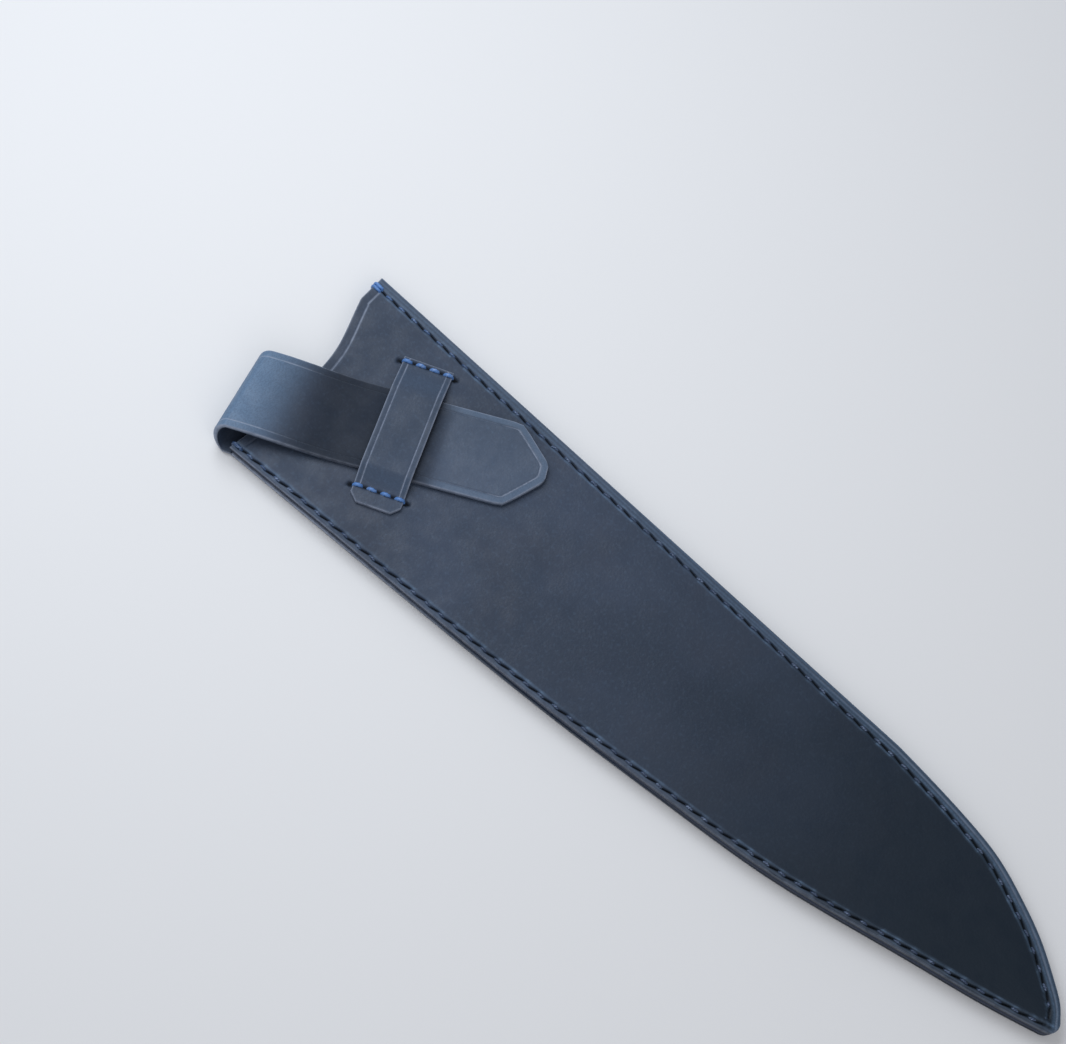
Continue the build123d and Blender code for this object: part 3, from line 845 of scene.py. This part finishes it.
spine_heading, edge_heading = heading(spine_side, seam_start), heading(edge_side, seam_start)
wraps = [
    mouth_wrap(spine_holes[0], -spine_heading, side * wrap_spacing / 2, low_z=0, turns=1.0)
    for side in (-1, 1)
]
wraps.append(
    mouth_wrap(edge_holes[0], -edge_heading, shift=0, low_z=welt_z + 0.5 * mm, turns=0.55),
)
# Painted light: stitches near either end of the seam, by the mouth, and the turns over its edge are
# painted brighter, as lit by the lamp there.
from_mouth = np.linspace(0, 1, len(all_holes) - 1) * (len(all_holes) - 1)
stitch_painted_light = 0.05 + 0.40 * np.exp(-from_mouth / 6) + 0.12 * np.exp(-(from_mouth[::-1]) / 6)
thread_piece(
    "seam_stitching", [front_seam, back_seam] + wraps, ["seam_thread"], [stitch_painted_light, stitch_painted_light, 1.0, 0.9, 0.25],
)

# Keeper: a short strap of the same leather, laid across and sewn at both ends, arched so that
# the main strap passes under it. Both long sides are creased, and its lower corners cut off.
keeper_width = 14.0 * mm
keeper_thickness = 1.6 * mm
keeper_upper_end = keeper_row_spacing / 2 + 1.3 * mm
keeper_lower_end = keeper_row_spacing / 2 + 4.4 * mm
keeper_corner = 2.2 * mm
keeper_crease_inset = 1.6 * mm
keeper_foot = keeper_row_spacing / 2 - 0.5 * mm
keeper_upper_ramp = 9.5 * mm
keeper_lower_ramp = 6.0 * mm
keeper_sag = 0.10 * mm
keeper_slit_depth = 0.7 * mm
keeper_slit_half_length = 0.9 * mm
keeper_slit_half_width = 0.42 * mm
strip_line = 0.16 * mm
strip_rim_line = 0.26 * mm
rim_steps = np.array([0.05, 0.12, 0.22, 0.4]) * mm
keeper_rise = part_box("keeper")[1][2] - keeper_thickness - top_z


def strip_shares(width, crease, gap=0.4 * mm):
    """Places across a strip from -1 to 1, close together at its rims and at its creases."""
    rim = np.array([0, 0.05, 0.12, 0.22, 0.36, 0.55]) * mm
    marks = crease + np.array([-0.4, -0.25, -0.12, 0, 0.12, 0.25, 0.4]) * mm
    start = np.concatenate([rim, np.arange(0.55 * mm + gap, marks[0] - gap / 2, gap), marks])
    middle = np.linspace(marks[-1], width / 2, int((width / 2 - marks[-1]) / gap))[1:]
    half = np.concatenate([start, middle]) / (width / 2) - 1
    return np.concatenate([half, -half[-2::-1]])


def strip_rim(rim):
    """A cut strip's height and its rubbed mark, from the distance to its rounded rim."""
    rim = np.clip(rim, 0, None)
    return -rounding(rim, rim_round), 0.935 * bell(rim, strip_rim_line)


def few(grid):
    """Every sixth point across a strip, which is all that its plain under side keeps."""
    return grid[:, ::6]


def strip_piece(name, top, under, nodes, body, marks):
    """A strip from its upper grid and its lower one: each station's points make one ring."""
    rings = np.concatenate([top, under[:, ::-1]], axis=1)
    faces = ring_faces(*rings.shape[:2])
    no_mark = np.zeros(under.shape[:2])
    spread = {mark: np.hstack([values, no_mark]) for mark, values in marks.items()}
    return piece(
        name, rings.reshape(-1, 3), faces, strap_leather, nodes, body, spread,
    )


strap_leather = waxed_leather("strap_leather")
keeper_stations = np.unique(np.concatenate([
    np.linspace(-keeper_lower_end, keeper_upper_end, 130),
    rim_steps - keeper_lower_end, keeper_upper_end - rim_steps,
]))
cut_off = np.clip(keeper_corner - (keeper_stations + keeper_lower_end), 0, None)
keeper_half = keeper_width / 2 - cut_off
keeper_c = keeper_half[:, None] * strip_shares(keeper_width, keeper_crease_inset, 0.3 * mm)
keeper_a = keeper_stations[:, None] + 0 * keeper_c
from_side = keeper_width / 2 - np.abs(keeper_c)
from_corner = (from_side + keeper_a + keeper_lower_end - keeper_corner) / math.sqrt(2)
from_ends = np.minimum(keeper_upper_end - keeper_a, keeper_a + keeper_lower_end)
keeper_rim = np.minimum.reduce([from_side, from_corner, from_ends])
keeper_height, keeper_rubbed = strip_rim(keeper_rim)
side_line = bell(from_side - keeper_crease_inset, strip_line) * (keeper_a > -keeper_foot)
keeper_height -= crease_depth * side_line
keeper_rubbed = np.clip(keeper_rubbed + 0.85 * side_line, 0, 1)
keeper_slit = np.zeros_like(keeper_height)
for side in (-1, 1):
    on_row = bell(keeper_a - side * keeper_row_spacing / 2, keeper_slit_half_width)
    for step in keeper_row_steps:
        one_slit = bell(keeper_c - step, keeper_slit_half_length, 4) * on_row
        keeper_slit = np.maximum(keeper_slit, one_slit)
keeper_height -= keeper_slit_depth * keeper_slit
keeper_ramp = np.where(keeper_a > 0, keeper_upper_ramp, keeper_lower_ramp)
keeper_bridge = keeper_rise * (1 - ease(np.abs(keeper_a), keeper_foot - keeper_ramp, keeper_foot))
lifted = keeper_bridge / keeper_rise
# Painted light: the keeper's ramps, which face away from the lamp, are painted paler through the pulled
# mark.
keeper_ramp_painted_light = lifted * (1 - lifted)
keeper_dip = -keeper_sag * (1 - (2 * keeper_c / keeper_width) ** 2) * lifted


def on_keeper(across, lengthwise, height):
    """A point of the keeper from its place along the stitch rows, across the strap, and its height."""
    flat = keeper_centre + across[..., None] * keeper_along + lengthwise[..., None] * keeper_across
    return np.dstack([flat, top_z + height])


strip_piece(
    "keeper_leather",
    on_keeper(keeper_c, keeper_a, keeper_bridge + keeper_thickness + keeper_height + keeper_dip),
    on_keeper(few(keeper_c), few(keeper_a), few(keeper_bridge)),
    ["keeper"], "sheath",
    {"slit_and_shade": keeper_slit, "wear_and_highlight": keeper_rubbed, "bloom_and_painted_light": 0.05 + 0.35 * keeper_ramp_painted_light},
)

# Keeper stitches: the same thread, plump and painted a lit blue, four stitches to a row. The
# first and last come up beside the keeper, through the panel alone.
for name, side in (("upper", 1), ("lower", -1)):
    row_stitches = stitches(
        keeper_row(side), top_z + keeper_thickness, up=1, rise=0.2 * mm, bury=1.1 * mm,
        radius=1.6 * thread_radius, gap=0.8 * mm,
    )
    thread_piece(f"keeper_stitching_{name}", [row_stitches], [f"keeper_thread_{name}"], [0.95])

# Strap, from its root: it is cut in one with the back panel, leaves it at the heel, and folds
# over in a tall half ellipse. Its outer face is paler blue over the fold.
strap_angle = math.radians(29.2)
heel_run_angle = math.radians(3.3)
strap_width = 23.84 * mm
strap_thickness = 1.8 * mm
strap_offset = 1.6 * mm
loop_reach = 3.3 * mm
heel_run_length = 2.3 * mm
strap_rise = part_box("strap_loop")[1][2]
tongue_start = 8.0 * mm
strap_crease_inset = 2.0 * mm
skived = 0.4 * mm
root_overlap = 0.5 * mm
root_clearance = 0.08 * mm
root_stations = 40
fold_stations = 60


skew = (strap_angle - heel_run_angle) / 2
fold_angle = math.pi / 2 + (strap_angle + heel_run_angle) / 2
fold_dir, outward = unit(fold_angle), unit(fold_angle + math.pi / 2)
strap_dir, strap_side = unit(strap_angle), unit(strap_angle + math.pi / 2)
strap_axis = keeper_centre - strap_side * strap_offset
fold_base = heel_corner + outward * heel_run_length
to_edge = (strap_axis - strap_side * strap_width / 2 - fold_base) @ strap_side
fold_lower = fold_base + fold_dir * to_edge / (fold_dir @ strap_side)
fold_upper = fold_lower + fold_dir * strap_width / math.cos(skew)
mid_reach, mid_rise = loop_reach - strap_thickness / 2, (strap_rise - strap_thickness) / 2
wrap_shift = math.pi * math.sqrt((mid_reach**2 + mid_rise**2) / 2) * math.tan(skew)


def between(low, high, share):
    """Points from one edge of the strap to the other; share is 0 to 1 across it."""
    return low * (1 - share[..., None]) + high * share[..., None]


def curl_point(turn, across, depth):
    """The fold: half an ellipse, less deep inside by the leather's depth, sheared as it wraps."""
    angle = math.pi * (turn - 0.5)
    flat = between(fold_lower, fold_upper, across) + (wrap_shift * (turn - 1))[..., None] * fold_dir
    flat = flat + ((loop_reach - depth) * np.cos(angle))[..., None] * outward
    return np.dstack([flat, strap_rise / 2 + (strap_rise / 2 - depth) * np.sin(angle)])


def root_point(share, across, depth):
    """The flat root: from the mouth's edge to the heel's line, and on to where the fold starts."""
    mouth_at = across * tab_share * mouth_run
    lap = along(mouth_edge, mouth_at) + root_overlap * inward(mouth_edge, mouth_at, 1)
    start_low, start_high = fold_lower - fold_dir * wrap_shift, fold_upper - fold_dir * wrap_shift
    line = between(heel_corner, start_high - outward * heel_run_length, across)
    fold_start = between(start_low, start_high, across)
    first, second = np.clip(2 * share, 0, 1)[..., None], np.clip(2 * share - 1, 0, 1)[..., None]
    flat = lap * (1 - first) + line * first + (fold_start - line) * second
    sunk = root_clearance * (1 - ease(share, 0, 0.12)) * (depth < strap_thickness / 2)
    return np.dstack([flat, depth + sunk])


across_row = (strip_shares(strap_width, strap_crease_inset) + 1) / 2
fold_turn = np.linspace(0, 1, fold_stations)
root_share = np.linspace(0, 1, root_stations, endpoint=False)
turn_grid, across_grid = np.meshgrid(fold_turn, across_row, indexing="ij")
root_grid, root_across = np.meshgrid(root_share, across_row, indexing="ij")
curl_rim = np.minimum(across_row, 1 - across_row) * strap_width
curl_height, curl_rubbed = strip_rim(curl_rim)
curl_line = bell(curl_rim - strap_crease_inset, strip_line)
curl_height -= 0.4 * crease_depth * curl_line
curl_thickness = strap_thickness - skived * ease(turn_grid, 0, 0.3)
curl_top = np.concatenate([
    root_point(root_grid, root_across, -curl_height), curl_point(turn_grid, across_grid, -curl_height),
])
curl_under = np.concatenate([
    root_point(few(root_grid), few(root_across), strap_thickness + 0 * few(root_across)),
    curl_point(few(turn_grid), few(across_grid), few(curl_thickness)),
])
fold_paleness = np.concatenate([np.zeros(root_stations), 0.95 * ease(fold_turn, 0.15, 0.55)])
curl_rubbed = np.clip(curl_rubbed + 0.765 * curl_line, 0, 1)
curl_marks = {
    "wear_and_highlight": np.broadcast_to(curl_rubbed, curl_top.shape[:2]),
    "bloom_and_painted_light": np.broadcast_to(fold_paleness[:, None], curl_top.shape[:2]),
}
curl = strip_piece(
    "strap_curl", curl_top, curl_under,
    ["strap_back_run", "strap_loop"], ("sheath", "strap_fold"), curl_marks,
)
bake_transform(curl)

# Strap, front run and tongue: it comes down from the fold, passes under the keeper and ends
# in a pointed tongue with a creased, rubbed border.
tongue_length = 31.4 * mm
tongue_shoulder = 9.2 * mm
tongue_blunt = 2.5 * mm
tongue_end_round = 1.2 * mm
shoulder_round = 0.3 * mm
shoulder_reach = 1.6 * mm
settle_share = 0.6
corner_softness = 0.25 * mm
strap_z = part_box("strap_tongue")[0][2]


def least(distances):
    """The smallest of some distances, blended where two are nearly equal, so corners are round."""
    return -corner_softness * np.log(np.exp(-np.stack(distances) / corner_softness).sum(0))


run_start = (fold_lower + fold_upper) / 2
run_end = strap_axis + strap_dir * tongue_start
run_length = np.linalg.norm(run_end - run_start)
strap_tip = run_length + tongue_length
shoulder_at = strap_tip - tongue_shoulder
half_width = strap_width / 2
slope_length = math.hypot(half_width - tongue_blunt, tongue_shoulder)
front_stations = np.unique(np.concatenate([
    np.linspace(0, run_length, 90), np.linspace(run_length, strap_tip, 110),
    strap_tip - rim_steps,
]))
narrowing = np.clip((front_stations - shoulder_at) / tongue_shoulder, 0, 1) * (half_width - tongue_blunt)
front_half = half_width - narrowing - rounding(strap_tip - front_stations, tongue_end_round)
front_half = front_half - shoulder_round * bell(front_stations - shoulder_at, shoulder_reach)
front_shares = strip_shares(strap_width, strap_crease_inset, 0.35 * mm)
front_c = front_half[:, None] * front_shares
front_a = front_stations[:, None] + 0 * front_c
own_side = front_half[:, None] - np.abs(front_c)
to_side = half_width - np.abs(front_c)
to_tip = strap_tip - front_a
to_slope = (half_width - tongue_blunt) * (shoulder_at - front_a) + tongue_shoulder * to_side
to_slope /= slope_length
front_rim = np.minimum.reduce([own_side, to_tip, np.clip(to_slope, 0, None)])
crease_rim = least([to_side, to_tip, to_slope])
strap_height, strap_rubbed = strip_rim(front_rim)
strap_line = bell(crease_rim - strap_crease_inset, strip_line)
near_tip = ease(front_a, strap_tip - 16 * mm, strap_tip - 7 * mm)
near_fold = 1 - ease(front_a, 4 * mm, 18 * mm)
strap_height -= crease_depth * (1 - 0.6 * near_fold) * strap_line
border = 1 - ease(crease_rim, 0.7 * strap_crease_inset, strap_crease_inset)
border = border * ease(front_a, run_length - 2 * mm, run_length + 8 * mm)
on_tongue = ease(front_a, run_length, run_length + 6 * mm)
strap_line *= 0.25 + 0.5 * near_tip + 0.5 * near_fold
strap_rubbed = np.clip(strap_rubbed + strap_line + 0.06 * on_tongue, 0, 1)


def front_point(lengthwise, sideways, height):
    """The strap's front: ruled from the fold to the keeper, sinking by a smooth step, then flat."""
    share = np.clip(lengthwise / run_length, 0, 1)
    drop = ease(share, 0, settle_share)
    level = strap_rise + (strap_z + strap_thickness - strap_rise) * drop
    slope = np.gradient(level[:, 0], lengthwise[:, 0])[:, None]
    across = (sideways / half_width + 1) / 2
    low = between(fold_lower, run_end - strap_side * half_width, share)
    high = between(fold_upper, run_end + strap_side * half_width, share)
    flat = between(low, high, across)
    past = np.clip(lengthwise - run_length, 0, None) - height * slope
    return np.dstack([flat + past[..., None] * strap_dir, level + height])


front_top = front_point(front_a, front_c, strap_height)
front_depth = strap_thickness - skived * (1 - ease(front_a, 0, 10 * mm))
front_under = front_point(few(front_a), few(front_c), -few(front_depth))
# Painted shade: the front run between the fold and the keeper, which slopes away from the lamp, is
# darkened through the slit mark.
front_run_painted_shade = 0.60 * ease(front_a, 8 * mm, 22 * mm)
front_run_painted_shade = front_run_painted_shade * (1 - ease(front_a, run_length - 2 * mm, run_length + 5 * mm))
front_paleness = 0.95 * (1 - ease(front_a, -2 * mm, 17 * mm)) + 0.28 * border + 0.13 * on_tongue
front_strap = strip_piece(
    "strap_front", front_top, front_under,
    ["strap_front_run", "strap_tongue"], ("strap_fold", "strap_end"),
    {"wear_and_highlight": strap_rubbed, "bloom_and_painted_light": front_paleness, "slit_and_shade": front_run_painted_shade},
)
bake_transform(front_strap)

# Stage: a plain pale floor, a soft lamp near the mouth and a weak one opposite. The sheen they
# give the leather fades from the mouth to the tip.
floor_half = 1.6
floor_drop = 0.2 * mm
floor_colour = (0.80, 0.80, 0.81)
sky_colour = (0.9, 0.93, 1.0)
sky_strength = 0.36
lamps = {
    "window": ((-0.31, 0.06, 0.43), 0.36, 1.75, (0.90, 0.95, 1.0)),
    "fill": ((0.50, -0.35, 0.75), 0.8, 1.9, (1.0, 0.98, 0.95)),
}
floor_mesh = bpy.data.meshes.new("floor")
floor_corners = [
    (x * floor_half, y * floor_half, -floor_drop) for x, y in ((-1, -1), (1, -1), (1, 1), (-1, 1))
]
floor_mesh.from_pydata(floor_corners, [], [(0, 1, 2, 3)])
floor_mesh.materials.append(Recipe("floor").finish(floor_colour, 0.8))
floor = add_object("floor", floor_mesh)
for name, (place, size, power, colour) in lamps.items():
    lamp_data = bpy.data.lights.new(name, "AREA")
    lamp_data.size, lamp_data.energy, lamp_data.color = size, power, colour
    lamp = add_object(name, lamp_data)
    lamp.location = place
    aslant = math.atan2(math.hypot(place[0], place[1]), place[2])
    lamp.rotation_euler = (aslant, 0, math.atan2(place[1], place[0]) + math.pi / 2)
world = bpy.data.worlds.new("studio")
bpy.context.scene.world = world
world.use_nodes = True
sky = world.node_tree.nodes["Background"]
sky.inputs["Color"].default_value = (*sky_colour, 1)
sky.inputs["Strength"].default_value = sky_strength
